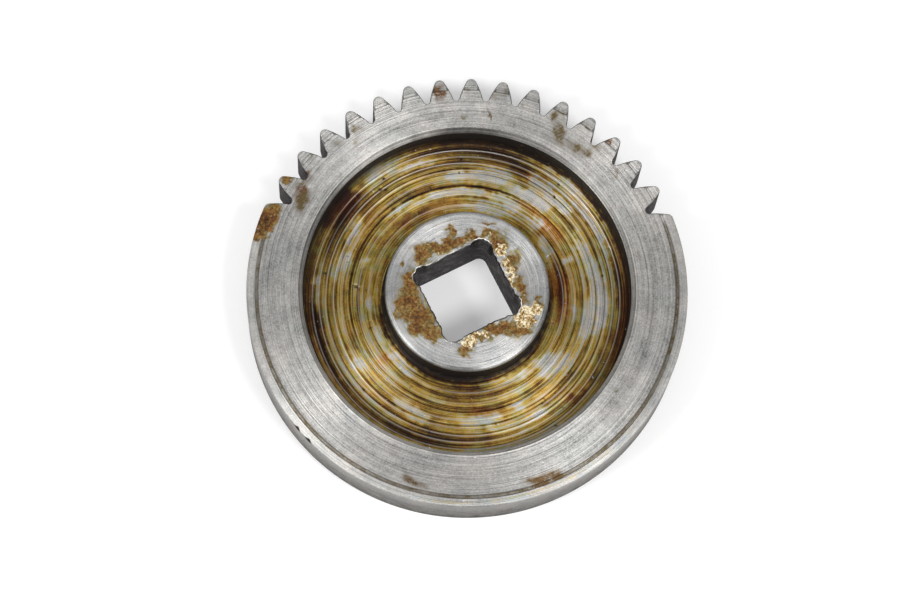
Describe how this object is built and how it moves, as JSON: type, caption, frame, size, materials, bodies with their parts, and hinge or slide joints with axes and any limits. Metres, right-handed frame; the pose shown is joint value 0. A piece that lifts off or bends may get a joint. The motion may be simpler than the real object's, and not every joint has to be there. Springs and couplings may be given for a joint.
{
  "type": "shifter gear",
  "caption": "Round dished steel shifter gear with teeth along part of its edge and a central hub with a square shaft hole.",
  "frame": {"origin": "on the gear's axis, at the face of the rear hub that it lies on", "axes": "+Z along the axis, out of the dished front; +Y through the middle tooth; +X across, to the right as seen from the front"},
  "size_m": [0.0698, 0.0698, 0.0119],
  "materials": {
    "steel": "bare turned steel, with brown oil stain in the dish, light rust and a crust round the hole"
  },
  "bodies": {
    "root": {"shifter_gear": "steel"}
  },
  "joints": []
}
